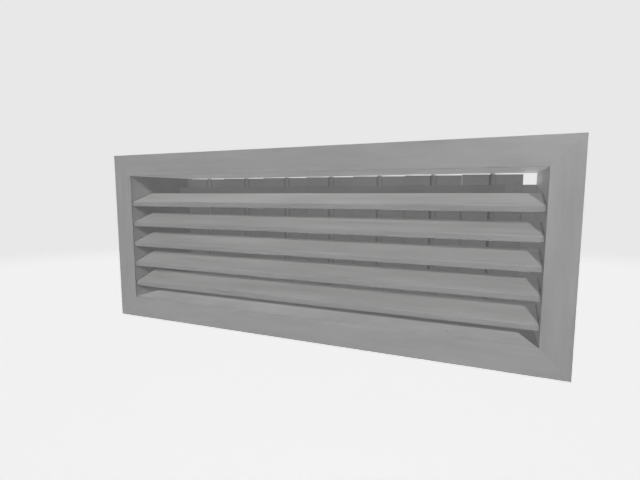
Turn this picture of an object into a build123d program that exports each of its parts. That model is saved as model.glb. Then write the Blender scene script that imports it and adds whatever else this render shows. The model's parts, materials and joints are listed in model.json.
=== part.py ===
from build123d import *
import os
from math import cos, radians, sin

# Louvred air grille for a 450 x 150 mm duct opening. A mitred picture-frame flange holds a sheet
# sleeve. Five louvres turn in the front of the sleeve and seven damper blades close its back. One
# link bar turns all the damper blades together.
#
# X runs across the grille, Y into the wall and Z up, in millimetres. The origin is the centre of
# the opening, in the plane of the wall that the flange closes against.

# Opening and flange
opening_width = 450.0
opening_height = 150.0
flange_width = 25.0
flange_depth = 5.0
face_thickness = 1.6
neck_wall = 1.4
neck_depth = 18.0
edge_radius = 0.6

# Channels in the back of the flange, as spans outward from the edge of the opening
gasket_span = (2.8, 12.2)
rib_span = (12.4, 13.4)
key_span = (13.6, 23.2)
key_leg = 38.0
key_thickness = 2.0
hook_size = 0.8

# Sleeve
sheet = 1.2
sleeve_end_y = 107.0
tab_width = 12.0
tab_y_span = (20.0, 104.0)
stop_width = 13.5
stop_half_height = 74.5
stop_cut_z = 62.9
fixing_hole_radius = 2.25
fixing_y = 60.0
fixing_z = 44.0

# Louvres, in the pose that throws the air down
louvre_count = 5
louvre_pitch = 24.8
top_nose_z = 37.8
nose_y = -3.0
tail_y = 29.0
nose_height = 6.0
tail_thickness = 2.0
louvre_rise = 16.4
louvre_wall = 1.2
louvre_pivot_y = 10.0
louvre_pivot_rise = 7.2
louvre_half_length = 223.4
boss_radius = 2.8
port_radius = 1.6
spigot_length = 8.0
cap_thickness = 1.0
journal_radius = 2.0

# Damper, in its nearly closed pose. The blades' edges lap, and the beads end short of the top.
damper_count = 7
damper_pitch = 60.75
damper_y = 93.0
damper_turn = 17.0
damper_half_chord = 30.8
damper_half_height = 73.6
damper_web = 1.2
bead_radius = 1.0
bead_inset = 0.65
bead_top_z = 62.4
tube_radius = 3.5
shaft_radius = 2.0
shaft_half_length = 77.2

# Linkage, with the pin placed from the blade's shaft along the chord and out from the blade
pin_chord = -26.0
pin_standoff = -6.0
pin_radius = 1.5
clip_arm_radius = 3.5
clip_arm_z = 47.4
clip_arm_thickness = 2.0
clip_base_span = (-27.5, -17.5)
clip_base_bottom_z = 38.0
clip_base_thickness = 2.0
stud_chord = -22.0
stud_z = 43.0
stud_radius = 1.9
bar_thickness = 1.5
bar_span_x = (-218.0, 195.0)
bar_top_z = 62.4
bar_standoff = 5.5
bar_tab_radius = 4.0
lever_span_x = (172.0, 184.0)
lever_tip_y = 56.0
knob_size = (18.0, 14.0, 9.0)
knob_y = 57.0

# Bushes, rivets and their clearances
bush_radius = 3.2
bush_flange_radius = 5.0
bush_flange = 1.2
running_clearance = 0.05
pin_clearance = 0.075
hole_clearance = 0.05
axial_gap = 0.3
rivet_radius = 1.6
rivet_head_radius = 3.0
rivet_head = 0.9
neck_rivet_y = 12.0
neck_rivet_x = (-150.0, 0.0, 150.0)
neck_rivet_z = 66.0
corner_rivet_y = (34.0, 90.0)

# Derived places
half_width = opening_width / 2
half_height = opening_height / 2
front_y = -flange_depth
face_back_y = front_y + face_thickness
neck_outer = sheet + neck_wall
top_pivot_z = top_nose_z + louvre_pivot_rise
louvre_pivots = [top_pivot_z - louvre_pitch * index for index in range(louvre_count)]
damper_middle = (damper_count - 1) / 2
damper_pivots = [damper_pitch * (index - damper_middle) for index in range(damper_count)]
corner_rivet_x = half_width + sheet - tab_width / 2
clip_arm_top_z = clip_arm_z + clip_arm_thickness
bar_bottom_z = clip_arm_top_z + axial_gap
bar_tab_top_z = bar_bottom_z + bar_thickness


def add_rectangle(x_span, y_span, mode=Mode.ADD):
    """Add a rectangle to the open sketch, from its two spans."""
    with Locations((sum(x_span) / 2, sum(y_span) / 2)):
        Rectangle(x_span[1] - x_span[0], y_span[1] - y_span[0], mode=mode)


def add_box(x_span, y_span, z_span, mode=Mode.ADD):
    """Add a box to the open part, from its three spans."""
    with Locations((sum(x_span) / 2, sum(y_span) / 2, sum(z_span) / 2)):
        Box(x_span[1] - x_span[0], y_span[1] - y_span[0], z_span[1] - z_span[0], mode=mode)


def add_disc(plane, radius, amount, mode=Mode.ADD, taper=0):
    """Add a round disc, rod or, in subtract mode, hole to the open part."""
    with BuildSketch(plane) as disc:
        Circle(radius)
    extrude(disc.sketch, amount=amount, mode=mode, taper=taper)


def mirrored_span(side, near, far):
    """Return the span from near to far, measured outward on the given side of the origin."""
    return tuple(sorted((side * near, side * far)))


def write(piece, name):
    """Label a finished piece and write it to its own file."""
    piece.part.label = name
    export_step(piece.part, f"parts/{name}.step")


def wall_plane(outward, inset, across, y):
    """Return a plane on one wall of the opening, facing outward, at a place on that wall."""
    along = outward.cross(Vector(0, 1, 0))
    origin = outward * inset + along * across + Vector(0, y, 0)
    return Plane(origin=origin, x_dir=Vector(0, 1, 0), z_dir=outward)


def across_from(outward, x, z):
    """Return how far along its wall a point lies, in the wall_plane sense."""
    return outward.cross(Vector(0, 1, 0)).dot(Vector(x, 0, z))


walls = {
    "top": (Vector(0, 0, 1), half_height, half_width),
    "bottom": (Vector(0, 0, -1), half_height, half_width),
    "left": (Vector(-1, 0, 0), half_width, half_height),
    "right": (Vector(1, 0, 0), half_width, half_height),
}


def neck_rivet_planes(side):
    """Return the planes of the rivets that join the neck to the sleeve on one wall."""
    outward, inset, _ = walls[side]
    if side in ("top", "bottom"):
        spots = [across_from(outward, x, 0) for x in neck_rivet_x]
    else:
        spots = [across_from(outward, 0, z) for z in (-neck_rivet_z, neck_rivet_z)]
    return [wall_plane(outward, inset, spot, neck_rivet_y) for spot in spots]


def louvre_bush_planes(side):
    """Return the planes of the louvre bushes on the left or right wall."""
    outward, inset, _ = walls[side]
    spots = [across_from(outward, 0, z) for z in louvre_pivots]
    return [wall_plane(outward, inset, spot, louvre_pivot_y) for spot in spots]


def damper_bush_planes(side):
    """Return the planes of the damper bushes on the top or bottom wall."""
    outward, inset, _ = walls[side]
    spots = [across_from(outward, x, 0) for x in damper_pivots]
    return [wall_plane(outward, inset, spot, damper_y) for spot in spots]


def corner_rivet_planes(side):
    """Return the planes of the rivets that join a sleeve plate to the tabs of the side walls."""
    outward, inset, _ = walls[side]
    spots = [across_from(outward, x, 0) for x in (-corner_rivet_x, corner_rivet_x)]
    return [wall_plane(outward, inset, spot, y) for spot in spots for y in corner_rivet_y]


def cut_wall(planes, radius):
    """Cut round holes outward through a wall and whatever lies against it."""
    for plane in planes:
        add_disc(plane.offset(-1), radius + hole_clearance, neck_outer + 2, mode=Mode.SUBTRACT)


def frame_strip(side):
    """Make one mitred length of the flange extrusion, with its neck and its two back channels."""
    outward, inset, half_run = walls[side]
    along = outward.cross(Vector(0, 1, 0))
    hook_y = face_back_y + key_thickness + hook_size / 4
    with BuildPart() as strip:
        with BuildSketch(Plane(origin=outward * inset, x_dir=outward, z_dir=along)) as section:
            add_rectangle((0, flange_width), (front_y, face_back_y))
            add_rectangle((flange_width - face_thickness, flange_width), (front_y, 0))
            add_rectangle((sheet, neck_outer), (front_y, neck_depth))
            add_rectangle(rib_span, (front_y, hook_y + hook_size))
            add_rectangle((rib_span[0], rib_span[1] + hook_size), (hook_y, hook_y + hook_size))
            rim_hook = flange_width - face_thickness - hook_size
            add_rectangle((rim_hook, flange_width), (hook_y, hook_y + hook_size))
            fillet(section.vertices().group_by(Axis.Y)[0], edge_radius)
        extrude(amount=half_run + flange_width, both=True)
        for end in (-1, 1):
            corner = outward * inset + along * (end * half_run)
            split(bisect_by=Plane(origin=corner, z_dir=along * end - outward), keep=Keep.BOTTOM)
        cut_wall(neck_rivet_planes(side), rivet_radius)
        if side in ("left", "right"):
            cut_wall(louvre_bush_planes(side), bush_radius)
    write(strip, f"frame_{side}")


def corner_keys():
    """Make the four flat L keys that hold the mitred corners together."""
    x_outer = half_width + key_span[1]
    z_outer = half_height + key_span[1]
    with BuildPart() as keys:
        with BuildSketch(Plane.XZ.offset(-face_back_y)):
            for x_side in (-1, 1):
                for z_side in (-1, 1):
                    x_leg = mirrored_span(x_side, x_outer - key_leg, x_outer)
                    z_leg = mirrored_span(z_side, z_outer - key_leg, z_outer)
                    x_width = mirrored_span(x_side, half_width + key_span[0], x_outer)
                    z_width = mirrored_span(z_side, half_height + key_span[0], z_outer)
                    add_rectangle(x_leg, z_width)
                    add_rectangle(x_width, z_leg)
        extrude(amount=-key_thickness)
    write(keys, "corner_keys")


def gasket(side):
    """Make one foam strip, which closes the flange against the wall."""
    outward, inset, half_run = walls[side]
    if side in ("top", "bottom"):
        x_span = (-half_run - gasket_span[1], half_run + gasket_span[1])
        z_span = mirrored_span(outward.Z, inset + gasket_span[0], inset + gasket_span[1])
    else:
        x_span = mirrored_span(outward.X, inset + gasket_span[0], inset + gasket_span[1])
        z_span = (-half_run - neck_outer, half_run + neck_outer)
    with BuildPart() as strip:
        add_box(x_span, (face_back_y, 0), z_span)
        fillet(strip.edges().group_by(Axis.Y)[-1], edge_radius)
    write(strip, f"gasket_{side}")


def sleeve_plate(side):
    """Make the flat top or bottom of the sleeve, drilled for the damper bushes."""
    outward, inset, half_run = walls[side]
    with BuildPart() as plate:
        z_span = mirrored_span(outward.Z, inset, inset + sheet)
        add_box((-half_run, half_run), (face_back_y, sleeve_end_y), z_span)
        cut_wall(neck_rivet_planes(side), rivet_radius)
        cut_wall(corner_rivet_planes(side), rivet_radius)
        cut_wall(damper_bush_planes(side), bush_radius)
    write(plate, f"sleeve_{side}")


def sleeve_wall(side):
    """Make a side wall of the sleeve, folded into tabs above and below and a stop at the back."""
    outward, inset, _ = walls[side]
    outer = inset + sheet
    tab_inner_z = half_height + sheet
    with BuildPart() as wall:
        x_span = mirrored_span(outward.X, inset, outer)
        add_box(x_span, (face_back_y, sleeve_end_y), (-tab_inner_z, tab_inner_z))
        for up in (-1, 1):
            tab_x = mirrored_span(outward.X, outer - tab_width, outer)
            tab_z = mirrored_span(up, tab_inner_z, tab_inner_z + sheet)
            add_box(tab_x, tab_y_span, tab_z)
        stop_x = mirrored_span(outward.X, inset - stop_width, outer)
        stop_y = (sleeve_end_y - sheet, sleeve_end_y)
        stop_top_z = stop_cut_z if side == "right" else stop_half_height
        add_box(stop_x, stop_y, (-stop_half_height, stop_top_z))
        cut_wall(neck_rivet_planes(side), rivet_radius)
        cut_wall(louvre_bush_planes(side), bush_radius)
        cut_wall(corner_rivet_planes("top") + corner_rivet_planes("bottom"), rivet_radius)
        for z in (-fixing_z, fixing_z):
            hole = wall_plane(outward, inset - 1, across_from(outward, 0, z), fixing_y)
            add_disc(hole, fixing_hole_radius, sheet + 2, mode=Mode.SUBTRACT)
    write(wall, f"sleeve_{side}")


def rivets(name, planes, grip):
    """Make blind rivets that end flush inside the sleeve and have a domed head outside."""
    with BuildPart() as group:
        for plane in planes:
            add_disc(plane, rivet_radius, grip)
            add_disc(plane.offset(grip), rivet_head_radius, rivet_head, taper=45)
    write(group, name)


def louvre_bushes(side):
    """Make the flanged bushes that the louvres turn in."""
    with BuildPart() as group:
        for plane in louvre_bush_planes(side):
            add_disc(plane, bush_radius, neck_outer)
            add_disc(plane.offset(neck_outer), bush_flange_radius, bush_flange)
            bore = journal_radius + running_clearance
            add_disc(plane, bore, neck_outer + bush_flange, mode=Mode.SUBTRACT)
    write(group, f"louvre_bushes_{side}")


def damper_bushes(side):
    """Make the cup bushes that hold the ends of the damper shafts."""
    shaft_end = shaft_half_length - half_height
    with BuildPart() as group:
        for plane in damper_bush_planes(side):
            add_disc(plane, bush_radius, sheet)
            add_disc(plane.offset(sheet), bush_flange_radius, 2 * bush_flange)
            bore = shaft_radius + running_clearance
            add_disc(plane, bore, shaft_end + 2 * running_clearance, mode=Mode.SUBTRACT)
    write(group, f"damper_bushes_{side}")


def louvre_plane(pivot_z, x):
    """Return a plane across a louvre, centred on its pivot: local x runs back and y runs up."""
    origin = (x, louvre_pivot_y, pivot_z)
    return Plane(origin=origin, x_dir=(0, 1, 0), z_dir=(1, 0, 0))


def louvre_outline():
    """Return the outside of the louvre's section: a wedge with a round boss below its pivot."""
    nose = nose_y - louvre_pivot_y
    tail = tail_y - louvre_pivot_y
    base = -louvre_pivot_rise
    with BuildSketch() as outline:
        Polygon(
            (nose, base),
            (nose, base + nose_height),
            (tail, base + louvre_rise),
            (tail, base + louvre_rise - tail_thickness),
            align=None,
        )
        fillet(outline.vertices(), 0.4 * tail_thickness)
        Circle(boss_radius)
    return outline.sketch


def louvre_cavity():
    """Return the hollow of the louvre's nose, which stops short of the boss."""
    nose = nose_y - louvre_pivot_y
    length = tail_y - nose_y
    upper_slope = (louvre_rise - nose_height) / length
    lower_slope = (louvre_rise - tail_thickness) / length
    lower = louvre_wall - louvre_pivot_rise
    upper = nose_height - louvre_wall - louvre_pivot_rise
    front = louvre_wall
    back = -nose - boss_radius - louvre_wall / 2
    with BuildSketch() as cavity:
        Polygon(
            (nose + front, lower + lower_slope * front),
            (nose + front, upper + upper_slope * front),
            (nose + back, upper + upper_slope * back),
            (nose + back, lower + lower_slope * back),
            align=None,
        )
    return cavity.sketch


def louvre(index, pivot_z):
    """Make one extruded louvre, with a screw port along its pivot and a hollow nose."""
    with BuildPart() as blade:
        with BuildSketch(louvre_plane(pivot_z, -louvre_half_length)):
            add(louvre_outline())
            add(louvre_cavity(), mode=Mode.SUBTRACT)
            Circle(port_radius, mode=Mode.SUBTRACT)
        extrude(amount=2 * louvre_half_length)
    write(blade, f"louvre_blade_{index}")


def louvre_caps(index, pivot_z):
    """Make the two end caps of a louvre, each with a spigot inside and a journal outside."""
    journal = half_width + neck_outer + bush_flange - louvre_half_length - 0.2
    with BuildPart() as caps:
        for end in (-1, 1):
            plane = louvre_plane(pivot_z, end * louvre_half_length)
            with BuildSketch(plane):
                add(louvre_outline())
            extrude(amount=end * cap_thickness)
            add_disc(plane, port_radius, -end * spigot_length)
            add_disc(plane, journal_radius, end * journal)
    write(caps, f"louvre_end_caps_{index}")


def blade_direction():
    """Return the chord direction of the damper blades."""
    turn = radians(damper_turn)
    return Vector(cos(turn), sin(turn), 0)


def blade_point(pivot_x, chord, standoff, z):
    """Return the place of a point that is given along and across a damper blade."""
    chord_direction = blade_direction()
    across = Vector(0, 0, 1).cross(chord_direction)
    return Vector(pivot_x, damper_y, z) + chord_direction * chord + across * standoff


def blade_plane(pivot_x, z):
    """Return a level plane on a damper blade's shaft, with local x along the blade's chord."""
    return Plane(origin=(pivot_x, damper_y, z), x_dir=blade_direction(), z_dir=(0, 0, 1))


def stud_plane(pivot_x, standoff):
    """Return a plane on a damper blade where its link clip snaps in, facing backwards."""
    across = Vector(0, 0, 1).cross(blade_direction())
    return Plane(origin=blade_point(pivot_x, stud_chord, standoff, stud_z), z_dir=across)


def damper_blade(index, pivot_x):
    """Make one extruded damper blade: a thin web with beaded edges and a tube for the shaft."""
    bead_chord = damper_half_chord - bead_inset
    with BuildPart() as blade:
        with BuildSketch(blade_plane(pivot_x, -damper_half_height)):
            with Locations((-bead_chord, 0), (bead_chord, 0)):
                Circle(bead_radius)
        extrude(amount=bead_top_z + damper_half_height)
        with BuildSketch(blade_plane(pivot_x, -damper_half_height)):
            Rectangle(2 * damper_half_chord, damper_web)
            Circle(tube_radius)
            Circle(shaft_radius, mode=Mode.SUBTRACT)
        extrude(amount=2 * damper_half_height)
        hole = stud_plane(pivot_x, -damper_web)
        add_disc(hole, stud_radius + hole_clearance, 2 * damper_web, mode=Mode.SUBTRACT)
    write(blade, f"damper_blade_{index}")


def damper_shaft(index, pivot_x):
    """Make the steel shaft that a damper blade is pressed onto."""
    with BuildPart() as shaft:
        add_disc(Plane((pivot_x, damper_y, -shaft_half_length)), shaft_radius, 2 * shaft_half_length)
        chamfer(shaft.edges().filter_by(GeomType.CIRCLE), 0.2 * shaft_radius)
    write(shaft, f"damper_shaft_{index}")


def link_clip(index, pivot_x):
    """Make the snap-in clip that carries one of the link bar's pins."""
    web_face = -damper_web / 2
    base_face = web_face - clip_base_thickness
    arm_height = clip_arm_thickness
    with BuildPart() as clip:
        with BuildSketch(blade_plane(pivot_x, clip_base_bottom_z)):
            add_rectangle(clip_base_span, (base_face, web_face))
        extrude(amount=clip_arm_top_z - clip_base_bottom_z)
        with BuildSketch(blade_plane(pivot_x, clip_arm_z)):
            add_rectangle((clip_base_span[0], pin_chord + clip_arm_radius), (pin_standoff, web_face))
            with Locations((pin_chord, pin_standoff)):
                Circle(clip_arm_radius)
        extrude(amount=arm_height)
        pin_foot = Plane(blade_point(pivot_x, pin_chord, pin_standoff, clip_arm_top_z))
        pin_height = bar_thickness + 2 * axial_gap
        add_disc(pin_foot, pin_radius, pin_height)
        add_disc(pin_foot.offset(pin_height), 1.4 * pin_radius, bar_thickness, taper=20)
        add_disc(stud_plane(pivot_x, web_face), stud_radius, damper_web)
        add_disc(stud_plane(pivot_x, -web_face), 1.4 * stud_radius, damper_web, taper=20)
    write(clip, f"link_clip_{index}")


def link_bar():
    """Make the bar that joins the damper blades, with a tab for each pin and a lever."""
    pins = [blade_point(x, pin_chord, pin_standoff, 0) for x in damper_pivots]
    bar_back_y = pins[0].Y - bar_standoff
    bar_front_y = bar_back_y - bar_thickness
    with BuildPart() as bar:
        add_box(bar_span_x, (bar_front_y, bar_back_y), (bar_bottom_z, bar_top_z))
        with BuildSketch(Plane.XY.offset(bar_bottom_z)):
            for pin in pins:
                tab_x = (pin.X - bar_tab_radius, pin.X + bar_tab_radius)
                add_rectangle(tab_x, (bar_front_y, pin.Y))
                with Locations((pin.X, pin.Y)):
                    Circle(bar_tab_radius)
                    Circle(pin_radius + pin_clearance, mode=Mode.SUBTRACT)
            add_rectangle(lever_span_x, (lever_tip_y, bar_back_y))
        extrude(amount=bar_thickness)
    write(bar, "link_bar")


def lever_knob():
    """Make the grip that is pushed onto the link bar's lever."""
    lever_z = (bar_bottom_z, bar_tab_top_z)
    knob_x = sum(lever_span_x) / 2
    knob_z = sum(lever_z) / 2 - 1.5
    with BuildPart() as knob:
        with Locations((knob_x, knob_y, knob_z)):
            Box(*knob_size)
        fillet(knob.edges(), 2.5)
        add_box(lever_span_x, (lever_tip_y, knob_y + knob_size[1]), lever_z, mode=Mode.SUBTRACT)
    write(knob, "lever_knob")


os.makedirs("parts", exist_ok=True)

for side in walls:
    frame_strip(side)
    gasket(side)
corner_keys()

for side in ("top", "bottom"):
    sleeve_plate(side)
    damper_bushes(side)
for side in ("left", "right"):
    sleeve_wall(side)
    louvre_bushes(side)
rivets("neck_rivets", [plane for side in walls for plane in neck_rivet_planes(side)], neck_outer)
corner_planes = corner_rivet_planes("top") + corner_rivet_planes("bottom")
rivets("corner_rivets", corner_planes, 2 * sheet)

for index, pivot_z in enumerate(louvre_pivots, start=1):
    louvre(index, pivot_z)
    louvre_caps(index, pivot_z)

for index, pivot_x in enumerate(damper_pivots, start=1):
    damper_blade(index, pivot_x)
    damper_shaft(index, pivot_x)
    link_clip(index, pivot_x)
link_bar()
lever_knob()
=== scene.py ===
"""Looks of the louvred air grille.

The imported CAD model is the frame: flange, sleeve, louvres and damper keep their CAD meshes and get
detailed coats here. Rivets, bushes, foam and the lever knob are replaced by finer meshes of the
same size. Everything is in metres, with X across the grille, Y into the wall and Z up.
"""

import json
import math

import bmesh
import bpy
from mathutils import Matrix, Vector


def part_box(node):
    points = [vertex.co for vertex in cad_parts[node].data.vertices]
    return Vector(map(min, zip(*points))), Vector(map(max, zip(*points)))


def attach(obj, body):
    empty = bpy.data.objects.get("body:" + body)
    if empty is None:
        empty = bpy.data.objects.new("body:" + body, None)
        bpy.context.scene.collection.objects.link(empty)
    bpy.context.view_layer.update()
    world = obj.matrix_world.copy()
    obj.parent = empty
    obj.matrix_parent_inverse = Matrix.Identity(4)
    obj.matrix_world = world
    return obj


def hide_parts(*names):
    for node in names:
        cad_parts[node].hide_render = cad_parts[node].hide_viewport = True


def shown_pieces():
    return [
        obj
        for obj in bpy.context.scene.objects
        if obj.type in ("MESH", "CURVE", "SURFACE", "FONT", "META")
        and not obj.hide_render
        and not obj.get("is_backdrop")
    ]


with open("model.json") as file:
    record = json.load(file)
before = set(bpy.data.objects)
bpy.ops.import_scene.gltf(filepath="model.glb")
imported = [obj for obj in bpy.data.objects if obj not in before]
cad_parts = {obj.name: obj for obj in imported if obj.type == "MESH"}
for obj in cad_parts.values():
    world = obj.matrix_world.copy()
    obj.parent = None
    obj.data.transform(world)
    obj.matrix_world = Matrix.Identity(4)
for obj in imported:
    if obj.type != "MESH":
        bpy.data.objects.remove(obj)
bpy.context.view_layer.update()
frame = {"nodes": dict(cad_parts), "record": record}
nodes = frame["nodes"]
record = frame["record"]

# ---------------------------------------------------------------- camera

CAMERA_PLACE = Vector((0.1877, -0.3825, 0.0531))
CAMERA_PITCH_DOWN = 6.34
CAMERA_TURN_LEFT = 23.09
SENSOR_WIDTH = 36.0
FOCAL_LENGTH = 23.25


def add_camera():
    """Adds the camera at the viewing angle of the original picture."""
    data = bpy.data.cameras.new("camera")
    data.sensor_width = SENSOR_WIDTH
    data.lens = FOCAL_LENGTH
    data.clip_start = 0.01
    data.clip_end = 50.0
    camera = bpy.data.objects.new("camera", data)
    camera.location = CAMERA_PLACE
    upright = math.radians(90.0 - CAMERA_PITCH_DOWN)
    camera.rotation_euler = (upright, 0.0, math.radians(CAMERA_TURN_LEFT))
    bpy.context.scene.collection.objects.link(camera)
    bpy.context.scene.camera = camera


# ---------------------------------------------------------------- material helpers


class Shader:
    """A new material with its Principled shader, and short ways to add nodes to it."""

    def __init__(self, name, roughness, metallic=0.0, specular=0.5):
        self.material = bpy.data.materials.new(name)
        self.material.use_nodes = True
        self.tree = self.material.node_tree
        self.surface = self.tree.nodes["Principled BSDF"]
        self.surface.inputs["Roughness"].default_value = roughness
        self.surface.inputs["Metallic"].default_value = metallic
        self.surface.inputs["Specular IOR Level"].default_value = specular
        self.place = self.tree.nodes.new("ShaderNodeTexCoord").outputs["Object"]
        self.relief = None

    def node(self, kind, **inputs):
        """Adds a node, sets the named inputs to values or links them to sockets."""
        node = self.tree.nodes.new(kind)
        for name, value in inputs.items():
            self.feed(node.inputs[name.replace("_", " ")], value)
        return node

    def feed(self, socket, value):
        """Sets a socket to a value, or links it if the value is another socket."""
        if isinstance(value, bpy.types.NodeSocket):
            self.tree.links.new(value, socket)
        else:
            socket.default_value = value

    def stretched(self, scale):
        """Returns the place on the object, scaled by axis, so that a pattern can be drawn out."""
        return self.node("ShaderNodeMapping", Vector=self.place, Scale=scale).outputs["Vector"]

    def noise(self, place, scale, detail=3.0, roughness=0.5):
        """Returns a soft random pattern from 0 to 1."""
        node = self.node(
            "ShaderNodeTexNoise", Vector=place, Scale=scale, Detail=detail, Roughness=roughness
        )
        return node.outputs["Fac"]

    def spread(self, value, low, high, to_low=0.0, to_high=1.0):
        """Maps a value from one span to another, and clamps it there."""
        node = self.tree.nodes.new("ShaderNodeMapRange")
        self.feed(node.inputs["Value"], value)
        for name, number in (("From Min", low), ("From Max", high), ("To Min", to_low), ("To Max", to_high)):
            node.inputs[name].default_value = number
        return node.outputs["Result"]

    def math(self, operation, first, second=0.0):
        """Returns the result of one arithmetic step."""
        node = self.tree.nodes.new("ShaderNodeMath")
        node.operation = operation
        self.feed(node.inputs[0], first)
        self.feed(node.inputs[1], second)
        return node.outputs["Value"]

    def blend(self, amount, first, second, kind="MIX"):
        """Returns a colour blended from two colours."""
        node = self.tree.nodes.new("ShaderNodeMix")
        node.data_type = "RGBA"
        node.blend_type = kind
        self.feed(node.inputs["Factor"], amount)
        self.feed(node.inputs["A"], first)
        self.feed(node.inputs["B"], second)
        return node.outputs["Result"]

    def bump(self, height, distance, strength=1.0):
        """Adds relief on top of the relief so far."""
        node = self.node("ShaderNodeBump", Height=height, Distance=distance, Strength=strength)
        if self.relief is not None:
            self.tree.links.new(self.relief, node.inputs["Normal"])
        self.relief = node.outputs["Normal"]
        self.tree.links.new(self.relief, self.surface.inputs["Normal"])

    def edges(self, radius):
        """Shades sharp edges as rounded, and returns how near a point lies to one, from 0 to 1."""
        rounded = self.node("ShaderNodeBevel", Radius=radius).outputs["Normal"]
        self.relief = rounded
        flat = self.tree.nodes.new("ShaderNodeNewGeometry").outputs["Normal"]
        dot = self.tree.nodes.new("ShaderNodeVectorMath")
        dot.operation = "DOT_PRODUCT"
        self.feed(dot.inputs[0], rounded)
        self.feed(dot.inputs[1], flat)
        return self.spread(dot.outputs["Value"], 0.995, 0.8)

    def facing_up(self):
        """Returns how much a face looks up, from 0 to 1."""
        normal = self.tree.nodes.new("ShaderNodeNewGeometry").outputs["Normal"]
        height = self.node("ShaderNodeSeparateXYZ", Vector=normal).outputs["Z"]
        return self.spread(height, 0.55, 0.95)

    def finish(self, colour, roughness=None):
        """Links the finished colour and roughness to the surface."""
        self.feed(self.surface.inputs["Base Color"], colour)
        if roughness is not None:
            self.feed(self.surface.inputs["Roughness"], roughness)
        return self.material


def grey(value, warmth=0.0):
    """Returns a grey as a colour, a touch warmer or cooler if asked."""
    return (value * (1 + warmth), value, value * (1 - warmth), 1.0)


# ---------------------------------------------------------------- materials


def powder_coat(name, value, streak, rounding=0.0003, gloss=0.42, dust_and_top_light=0.35, seed=0.0):
    """Satin powder coat: orange peel, drawn-out mottling, light dust with painted top light on level faces,
    and lighter edges, partly rubbed and partly painted highlight.
    """
    shader = Shader(name, gloss)
    offset = (seed, seed, seed)
    drawn = shader.node("ShaderNodeMapping", Vector=shader.place, Scale=streak, Location=offset)
    drawn = drawn.outputs["Vector"]
    clouds = shader.noise(drawn, 9.0, detail=4.0, roughness=0.62)
    streaks = shader.noise(drawn, 41.0, detail=2.0)
    grain = shader.noise(shader.place, 2600.0, detail=2.0)
    tone = shader.blend(shader.spread(clouds, 0.3, 0.7), grey(value * 0.90), grey(value * 1.06))
    tone = shader.blend(shader.spread(streaks, 0.42, 0.8, 0.0, 0.35), tone, grey(value * 1.12))
    tone = shader.blend(shader.spread(grain, 0.35, 0.75, 0.0, 0.16), tone, grey(value * 0.72))
    # Painted light: faces that look up are made lighter, as if lit from above, with a little real dust in it.
    dust_and_top_light_mask = shader.math("MULTIPLY", shader.facing_up(), shader.spread(clouds, 0.25, 0.8, 0.3, 1.0))
    dust_and_top_light_mask = shader.math("MULTIPLY", dust_and_top_light_mask, dust_and_top_light)
    tone = shader.blend(dust_and_top_light_mask, tone, grey(value * 1.6, 0.01))
    # Painted highlight: sharp edges are made lighter in patches, partly as rubbed paint.
    edge_wear_and_highlight = shader.math("MULTIPLY", shader.edges(rounding), shader.spread(streaks, 0.45, 0.7))
    tone = shader.blend(shader.math("MULTIPLY", edge_wear_and_highlight, 0.4), tone, grey(value * 1.45))
    roughness = shader.spread(clouds, 0.25, 0.75, gloss - 0.06, gloss + 0.09)
    roughness = shader.math("ADD", roughness, shader.math("MULTIPLY", dust_and_top_light_mask, 0.35))
    shader.bump(shader.noise(shader.place, 620.0, detail=2.0), 0.00005, 0.55)
    shader.bump(grain, 0.00001, 0.5)
    return shader.finish(tone, roughness)


def sheet_coat(name, value):
    """Matt coat on thin rolled sheet, with faint rolling marks and soft blotches."""
    shader = Shader(name, 0.58, specular=0.4)
    clouds = shader.noise(shader.stretched((1.0, 1.0, 1.6)), 14.0, detail=5.0, roughness=0.6)
    rolled = shader.noise(shader.stretched((1.0, 26.0, 26.0)), 22.0, detail=2.0)
    grain = shader.noise(shader.place, 1900.0, detail=2.0)
    tone = shader.blend(shader.spread(clouds, 0.3, 0.72), grey(value * 0.86), grey(value * 1.08))
    tone = shader.blend(shader.spread(rolled, 0.4, 0.75, 0.0, 0.3), tone, grey(value * 1.16))
    tone = shader.blend(shader.spread(grain, 0.4, 0.8, 0.0, 0.15), tone, grey(value * 0.7))
    # Painted highlight: every sharp edge is made lighter, with slight wear.
    tone = shader.blend(shader.math("MULTIPLY", shader.edges(0.0004), 0.2), tone, grey(value * 1.4))
    shader.bump(rolled, 0.00003, 0.4)
    shader.bump(shader.noise(shader.place, 480.0, detail=2.0), 0.00004, 0.5)
    return shader.finish(tone, shader.spread(clouds, 0.3, 0.7, 0.5, 0.68))


def drawn_steel(name):
    """Bright drawn steel, with fine rings and a little staining."""
    shader = Shader(name, 0.3, metallic=1.0)
    rings = shader.noise(shader.stretched((3.0, 3.0, 160.0)), 14.0, detail=2.0)
    stain = shader.noise(shader.place, 90.0, detail=4.0)
    tone = shader.blend(shader.spread(stain, 0.35, 0.75), grey(0.62), grey(0.42, 0.03))
    shader.bump(rings, 0.00002, 0.5)
    return shader.finish(tone, shader.spread(stain, 0.3, 0.75, 0.24, 0.45))


def bare_aluminium(name, value, scratches):
    """Bare aluminium, dulled, with short scratches."""
    shader = Shader(name, 0.42, metallic=1.0)
    clouds = shader.noise(shader.place, 120.0, detail=4.0)
    lines = shader.noise(shader.stretched(scratches), 60.0, detail=3.0, roughness=0.7)
    tone = shader.blend(shader.spread(clouds, 0.3, 0.75), grey(value), grey(value * 0.72))
    tone = shader.blend(shader.spread(lines, 0.6, 0.8, 0.0, 0.5), tone, grey(value * 1.15))
    shader.bump(lines, 0.00002, 0.6)
    return shader.finish(tone, shader.spread(clouds, 0.3, 0.7, 0.34, 0.55))


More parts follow.
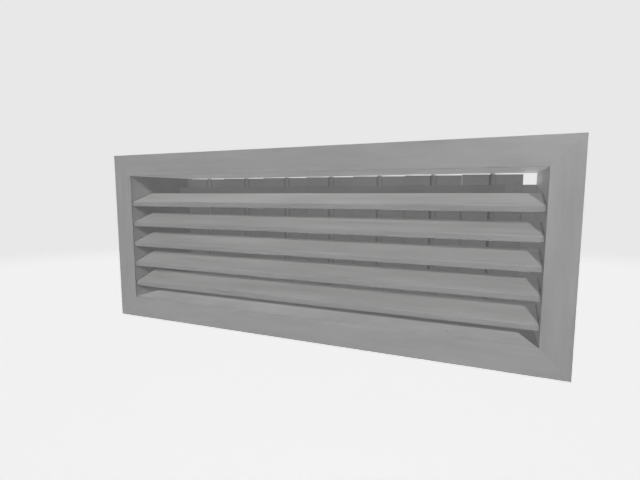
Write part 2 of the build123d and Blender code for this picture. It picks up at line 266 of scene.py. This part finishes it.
def moulded_nylon(name, value, gloss=0.42):
    """Moulded nylon, with a fine spark-eroded texture and lighter edges, partly rubbed and partly painted
    highlight.
    """
    shader = Shader(name, gloss, specular=0.45)
    texture = shader.noise(shader.place, 1500.0, detail=3.0, roughness=0.6)
    clouds = shader.noise(shader.place, 70.0, detail=3.0)
    tone = shader.blend(shader.spread(clouds, 0.3, 0.75), grey(value * 0.85), grey(value * 1.15))
    # Painted highlight: sharp edges are made lighter, partly as rubbed wear.
    tone = shader.blend(shader.math("MULTIPLY", shader.edges(0.0005), 0.35), tone, grey(value * 2.2))
    shader.bump(texture, 0.00003, 0.6)
    return shader.finish(tone, shader.spread(clouds, 0.3, 0.7, gloss - 0.05, gloss + 0.1))


def closed_cell_foam(name, value):
    """Closed-cell foam: small cells with thin walls, dull and slightly dusty."""
    shader = Shader(name, 0.9, specular=0.2)
    cells = shader.node("ShaderNodeTexVoronoi", Vector=shader.place, Scale=1700.0, Randomness=1.0)
    depth = cells.outputs["Distance"]
    clouds = shader.noise(shader.place, 60.0, detail=4.0)
    # Painted shade: the cell hollows, where the bump sinks, are darker, and the cell walls lighter.
    tone = shader.blend(shader.spread(depth, 0.1, 0.7), grey(value * 0.6), grey(value * 1.3))
    tone = shader.blend(shader.spread(clouds, 0.4, 0.8, 0.0, 0.3), tone, grey(value * 2.0))
    shader.bump(depth, 0.00025, 0.8)
    return shader.finish(tone)


FLANGE_GREY = 0.33
LOUVRE_GREY = 0.295
SLEEVE_GREY = 0.30
DAMPER_GREY = 0.28
CAP_GREY = 0.24

MATERIALS = {
    "flange_across": (powder_coat, {"value": FLANGE_GREY, "streak": (1.0, 3.0, 7.0)}),
    "flange_upright": (powder_coat, {"value": FLANGE_GREY, "streak": (7.0, 3.0, 1.0), "seed": 3.1}),
    # The louvre coat gets strong painted top light on its upward faces, besides dust.
    "louvre_coat": (
        powder_coat,
        {"value": LOUVRE_GREY, "streak": (1.0, 9.0, 9.0), "rounding": 0.0008, "dust_and_top_light": 0.65, "seed": 5.7},
    ),
    "sleeve_coat": (sheet_coat, {"value": SLEEVE_GREY}),
    "damper_coat": (sheet_coat, {"value": DAMPER_GREY}),
    "link_coat": (sheet_coat, {"value": DAMPER_GREY}),
    "shaft_steel": (drawn_steel, {}),
    "rivet_metal": (bare_aluminium, {"value": 0.4, "scratches": (1.0, 1.0, 1.0)}),
    "key_metal": (bare_aluminium, {"value": 0.5, "scratches": (1.0, 1.0, 14.0)}),
    "bush_nylon": (moulded_nylon, {"value": 0.05}),
    "cap_nylon": (moulded_nylon, {"value": CAP_GREY, "gloss": 0.5}),
    "clip_nylon": (moulded_nylon, {"value": 0.05}),
    "knob_nylon": (moulded_nylon, {"value": 0.045, "gloss": 0.38}),
    "gasket_foam": (closed_cell_foam, {"value": 0.035}),
}


def make_materials():
    """Returns every material by name."""
    return {name: make(name, **settings) for name, (make, settings) in MATERIALS.items()}


def coat_frame(materials):
    """Gives every CAD node its material."""
    slots = {entry["node"]: entry["material_slot"] for entry in record["subparts"]}
    for name, node in nodes.items():
        slot = slots[name]
        if slot == "flange_coat":
            slot = "flange_across" if name in ("frame_top", "frame_bottom") else "flange_upright"
        node.data.materials.clear()
        node.data.materials.append(materials[slot])


# ---------------------------------------------------------------- replaced pieces

MM = 0.001
LATHE_STEPS = 32
CORNER_STEPS = 3

# Profiles as (radius, height, rounding) in millimetres, with heights from the inside of the wall
NECK_GRIP = 2.6
CORNER_GRIP = 2.4
SHANK_END = ((0.0, 0.3, 0), (0.95, 0.3, 0.1), (1.1, 0.0, 0.1), (1.6, 0.0, 0.15))
RIVET_HEAD = (
    (1.6, 0.0, 0),
    (3.0, 0.0, 0),
    (3.0, 0.16, 0.1),
    (2.4, 0.74, 0.3),
    (1.35, 0.9, 0.2),
    (1.05, 0.76, 0.08),
    (0.95, 0.42, 0.05),
    (0.0, 0.5, 0),
)
LOUVRE_BUSH = (
    (2.05, 0.3, 0.1),
    (2.3, 0.0, 0.05),
    (3.2, 0.0, 0.25),
    (3.2, 2.6, 0),
    (5.0, 2.6, 0.15),
    (5.0, 3.8, 0.35),
    (4.2, 3.8, 0.06),
    (4.1, 3.62, 0.06),
    (3.3, 3.62, 0.06),
    (3.2, 3.8, 0.06),
    (2.4, 3.8, 0.1),
    (2.05, 3.45, 0.1),
)
DAMPER_BUSH = (
    (0.0, 2.3, 0),
    (2.05, 2.3, 0.15),
    (2.05, 0.3, 0.1),
    (2.3, 0.0, 0.05),
    (3.2, 0.0, 0.2),
    (3.2, 1.2, 0),
    (5.0, 1.2, 0.15),
    (5.0, 3.6, 0.7),
    (2.6, 3.6, 0.15),
    (2.3, 3.3, 0.1),
    (0.5, 3.3, 0.05),
    (0.4, 3.4, 0.05),
    (0.0, 3.4, 0),
)
FOAM_ROUNDING = 0.9
FOAM_WAVE = 0.22
FOAM_STEP = 4.0
KNOB_ROUNDING = 2.5
KNOB_GROOVE = 0.45
KNOB_GROOVE_PITCH = 1.8
KNOB_STATIONS = 91
KNOB_RING = 40


def rounded(corners):
    """Returns a profile of (radius, height) points with the corners rounded off."""
    profile = []
    for index, (radius, height, size) in enumerate(corners):
        corner = Vector((radius, height))
        if size == 0:
            profile.append(corner)
            continue
        before = Vector(corners[index - 1][:2]) - corner
        after = Vector(corners[(index + 1) % len(corners)][:2]) - corner
        start = corner + before.normalized() * size
        end = corner + after.normalized() * size
        for step in range(CORNER_STEPS + 1):
            share = step / CORNER_STEPS
            profile.append(start.lerp(corner, share).lerp(corner.lerp(end, share), share))
    return profile


def lathe(shape, profile, place):
    """Turns a profile round the local Z axis of a place. A profile clear of the axis is closed to a tube."""
    rings = []
    for radius, height in profile:
        steps = LATHE_STEPS if radius > 0 else 1
        angles = [math.tau * step / LATHE_STEPS for step in range(steps)]
        points = [Vector((radius * math.cos(a), radius * math.sin(a), height)) for a in angles]
        rings.append([shape.verts.new(place @ (point * MM)) for point in points])
    if profile[0][0] > 0:
        rings.append(rings[0])
    for ring, other in zip(rings, rings[1:]):
        for step in range(LATHE_STEPS):
            ahead = step + 1
            corners = (
                ring[step % len(ring)],
                ring[ahead % len(ring)],
                other[ahead % len(other)],
                other[step % len(other)],
            )
            shape.faces.new(list(dict.fromkeys(corners)))


def loft(shape, sections):
    """Joins sections of the same number of points into a skin, and closes both ends."""
    rings = [[shape.verts.new(point * MM) for point in section] for section in sections]
    count = len(rings[0])
    for ring, other in zip(rings, rings[1:]):
        for step in range(count):
            ahead = (step + 1) % count
            shape.faces.new((ring[step], ring[ahead], other[ahead], other[step]))
    shape.faces.new(rings[0])
    shape.faces.new(rings[-1])


def islands(node):
    """Returns the lowest and highest corner of each separate solid in a CAD node, at rest."""
    shape = bmesh.new()
    shape.from_mesh(node.data)
    shape.transform(node.matrix_world)
    bmesh.ops.remove_doubles(shape, verts=shape.verts, dist=0.00001)
    seen = set()
    boxes = []
    for first in shape.verts:
        if first in seen:
            continue
        seen.add(first)
        waiting = [first]
        places = []
        while waiting:
            vertex = waiting.pop()
            places.append(vertex.co)
            for link in vertex.link_edges:
                other = link.other_vert(vertex)
                if other not in seen:
                    seen.add(other)
                    waiting.append(other)
        low = Vector([min(place[axis] for place in places) for axis in range(3)])
        high = Vector([max(place[axis] for place in places) for axis in range(3)])
        boxes.append((low, high))
    shape.free()
    return boxes


def wall_place(low, high):
    """Returns the place of a turned piece: on the inside of its wall, with Z along its axis, outward."""
    size = high - low
    axis = min(range(3), key=lambda number: size[number])
    centre = (low + high) / 2
    outward = Vector((0.0, 0.0, 0.0))
    outward[axis] = math.copysign(1.0, centre[axis])
    foot = centre - outward * size[axis] / 2
    return Matrix.Translation(foot) @ outward.to_track_quat("Z", "Y").to_matrix().to_4x4()


def add_piece(node_name, shape, body, slot, materials, sharp_angle=38.0):
    """Makes an object from a finished shape, in place of a CAD node."""
    bmesh.ops.recalc_face_normals(shape, faces=shape.faces)
    mesh = bpy.data.meshes.new(f"{node_name}_fine")
    shape.to_mesh(mesh)
    shape.free()
    mesh.shade_smooth()
    mesh.set_sharp_from_angle(angle=math.radians(sharp_angle))
    mesh.materials.append(materials[slot])
    piece = bpy.data.objects.new(f"{node_name}_fine", mesh)
    bpy.context.scene.collection.objects.link(piece)
    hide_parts(node_name)
    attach(piece, body)


def add_turned(node_name, corners, slot, materials):
    """Replaces every solid of a node by the same turned piece."""
    profile = rounded(corners)
    shape = bmesh.new()
    for low, high in islands(nodes[node_name]):
        lathe(shape, profile, wall_place(low, high))
    add_piece(node_name, shape, "grille_body", slot, materials)


def rivet_corners(grip):
    """Returns the corners of a blind rivet: a hollow end inside, a domed head with its broken pin outside."""
    return SHANK_END + tuple((radius, grip + height, size) for radius, height, size in RIVET_HEAD)


def foam_strip(node_name, materials):
    """Replaces a foam strip by one with soft edges and the slight waviness of strip laid by hand."""
    low, high = (Vector(corner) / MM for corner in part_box(node_name))
    size = high - low
    along = 0 if size.x > size.z else 2
    across = 2 - along
    stations = round(size[along] / FOAM_STEP)
    sections = []
    for station in range(stations + 1):
        reach = size[along] * station / stations
        wave = FOAM_WAVE * (0.5 + 0.3 * math.sin(reach / 17.0) + 0.2 * math.sin(reach / 5.3 + low[across]))
        inner = low[across] + wave
        outer = high[across] - wave
        back = high.y - 0.5 * wave
        corners = (
            (inner, low.y, 0),
            (outer, low.y, 0),
            (outer, back, FOAM_ROUNDING),
            (inner, back, FOAM_ROUNDING),
        )
        section = []
        for place, depth in rounded(corners):
            point = Vector((0.0, depth, 0.0))
            point[along] = low[along] + reach
            point[across] = place
            section.append(point)
        sections.append(section)
    shape = bmesh.new()
    loft(shape, sections)
    add_piece(node_name, shape, "grille_body", "gasket_foam", materials, sharp_angle=50.0)


def ribbed_knob(materials):
    """Replaces the lever knob by a rounded one with finger grooves across it."""
    low, high = (Vector(corner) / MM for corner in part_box("lever_knob"))
    centre = (low + high) / 2
    half = (high - low) / 2
    sections = []
    for station in range(KNOB_STATIONS):
        reach = half.x * (2.0 * station / (KNOB_STATIONS - 1) - 1.0)
        beyond = max(0.0, abs(reach) - (half.x - KNOB_ROUNDING))
        inset = KNOB_ROUNDING - math.sqrt(KNOB_ROUNDING**2 - beyond**2)
        if beyond == 0:
            inset += KNOB_GROOVE * (0.5 - 0.5 * math.cos(math.tau * reach / KNOB_GROOVE_PITCH)) ** 2
        section = []
        for step in range(KNOB_RING):
            angle = math.tau * step / KNOB_RING
            turn = Vector((math.cos(angle), math.sin(angle)))
            squareness = (abs(turn.x) ** 4 + abs(turn.y) ** 4) ** -0.25
            depth = (half.y - inset) * turn.x * squareness
            height = (half.z - inset) * turn.y * squareness
            section.append(centre + Vector((reach, depth, height)))
        sections.append(section)
    shape = bmesh.new()
    loft(shape, sections)
    add_piece("lever_knob", shape, "link", "knob_nylon", materials, sharp_angle=60.0)


def add_fine_pieces(materials):
    """Puts the finer rivets, bushes, foam and knob in place of the CAD ones."""
    add_turned("neck_rivets", rivet_corners(NECK_GRIP), "rivet_metal", materials)
    add_turned("corner_rivets", rivet_corners(CORNER_GRIP), "rivet_metal", materials)
    for side in ("left", "right"):
        add_turned(f"louvre_bushes_{side}", LOUVRE_BUSH, "bush_nylon", materials)
    for side in ("top", "bottom"):
        add_turned(f"damper_bushes_{side}", DAMPER_BUSH, "bush_nylon", materials)
    for side in ("top", "bottom", "left", "right"):
        foam_strip(f"gasket_{side}", materials)
    ribbed_knob(materials)


# ---------------------------------------------------------------- stage and light

BACKDROP = 0.807
SKY_LIGHT = 0.15
FLOOR_HEIGHT = -0.361
FLOOR_RADIUS = 2.94
FLOOR_GLOW = 0.76

# The start of the names of the pieces that a lamp can be kept to
FACE = ("frame", "louvre")
FLOOR = ("sleeve_bottom", "neck")
DEPTH = ("sleeve", "damper", "link", "lever", "gasket", "neck", "corner")
ALL = ("",)

# Each lamp: the way its light travels, its strength, how soft it is in degrees, if it has shadows,
# and what it lights
KEY_DIRECTION = (-0.37, 1.0, -0.4)
LAMPS = {
    "key": (KEY_DIRECTION, 1.9, 2.0, True, FACE),
    "key_on_floor": (KEY_DIRECTION, 6.2, 2.0, True, FLOOR),
    "fill": ((-0.05, 0.62, -0.85), 1.08, 10.0, False, FACE + FLOOR),
    "bounce": ((0.0, 0.0, 1.0), 2.6, 30.0, False, ALL),
    "depth": ((-0.6, 1.0, 0.0), 0.93, 30.0, False, DEPTH),
    "from_left": ((1.0, 0.23, 0.18), 2.0, 3.0, True, ("sleeve_right",)),
    "from_left_soft": ((1.0, 0.3, 0.0), 1.0, 30.0, False, ("sleeve_right", "sleeve_left")),
    "from_right": ((-1.0, 0.3, -0.18), 0.8, 3.0, True, ("sleeve_left",)),
    "rear": ((0.0, -1.0, 0.0), 1.1, 40.0, False, ALL),
}


def add_floor():
    """Adds a wide pale floor that fades out into the backdrop."""
    mesh = bpy.data.meshes.new("floor")
    shape = bmesh.new()
    bmesh.ops.create_circle(shape, cap_ends=True, segments=96, radius=FLOOR_RADIUS * 1.15)
    shape.to_mesh(mesh)
    shape.free()
    floor = bpy.data.objects.new("floor", mesh)
    floor.location = (0.0, 0.0, FLOOR_HEIGHT)
    bpy.context.scene.collection.objects.link(floor)
    shader = Shader("floor", 0.8, specular=0.1)
    tone = shader.noise(shader.place, 1.5, detail=2.0)
    tone = shader.blend(tone, grey(0.78), grey(0.82))
    shader.surface.inputs["Emission Color"].default_value = grey(1.0)
    shader.surface.inputs["Emission Strength"].default_value = FLOOR_GLOW
    shader.finish(tone)
    reach = shader.tree.nodes.new("ShaderNodeVectorMath")
    reach.operation = "LENGTH"
    shader.feed(reach.inputs[0], shader.place)
    fade = shader.spread(reach.outputs["Value"], FLOOR_RADIUS * 0.86, FLOOR_RADIUS * 1.1)
    clear = shader.tree.nodes.new("ShaderNodeBsdfTransparent").outputs["BSDF"]
    mix = shader.node("ShaderNodeMixShader")
    shader.feed(mix.inputs[0], fade)
    shader.feed(mix.inputs[1], shader.surface.outputs["BSDF"])
    shader.feed(mix.inputs[2], clear)
    output = shader.tree.nodes["Material Output"]
    shader.feed(output.inputs["Surface"], mix.outputs["Shader"])
    mesh.materials.append(shader.material)
    floor.visible_diffuse = False
    floor.visible_glossy = False
    floor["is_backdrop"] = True


def add_world():
    """Sets the even studio light, and the pale grey that the camera sees behind the object."""
    world = bpy.data.worlds.new("studio")
    world.use_nodes = True
    bpy.context.scene.world = world
    tree = world.node_tree
    light = tree.nodes["Background"]
    light.inputs["Color"].default_value = grey(1.0)
    light.inputs["Strength"].default_value = SKY_LIGHT
    seen = tree.nodes.new("ShaderNodeBackground")
    seen.inputs["Color"].default_value = grey(BACKDROP)
    choice = tree.nodes.new("ShaderNodeMixShader")
    ray = tree.nodes.new("ShaderNodeLightPath")
    tree.links.new(ray.outputs["Is Camera Ray"], choice.inputs[0])
    tree.links.new(light.outputs["Background"], choice.inputs[1])
    tree.links.new(seen.outputs["Background"], choice.inputs[2])
    tree.links.new(choice.outputs["Shader"], tree.nodes["World Output"].inputs["Surface"])


def add_lamps():
    """Adds the distant lamps, and keeps them off the floor, so that no shadow falls on it."""
    for name, (direction, strength, softness, has_shadow, lit_names) in LAMPS.items():
        lit = bpy.data.collections.new(f"lit_by_{name}")
        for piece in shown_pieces():
            if piece.name.startswith(lit_names):
                lit.objects.link(piece)
        data = bpy.data.lights.new(name, "SUN")
        data.energy = strength
        data.angle = math.radians(softness)
        data.use_shadow = has_shadow
        lamp = bpy.data.objects.new(name, data)
        lamp.rotation_euler = Vector(direction).to_track_quat("-Z", "Y").to_euler()
        lamp.light_linking.receiver_collection = lit
        bpy.context.scene.collection.objects.link(lamp)


# ---------------------------------------------------------------- build

bpy.context.scene.view_settings.view_transform = "Standard"
add_camera()
add_world()
add_floor()
coats = make_materials()
coat_frame(coats)
add_fine_pieces(coats)
add_lamps()

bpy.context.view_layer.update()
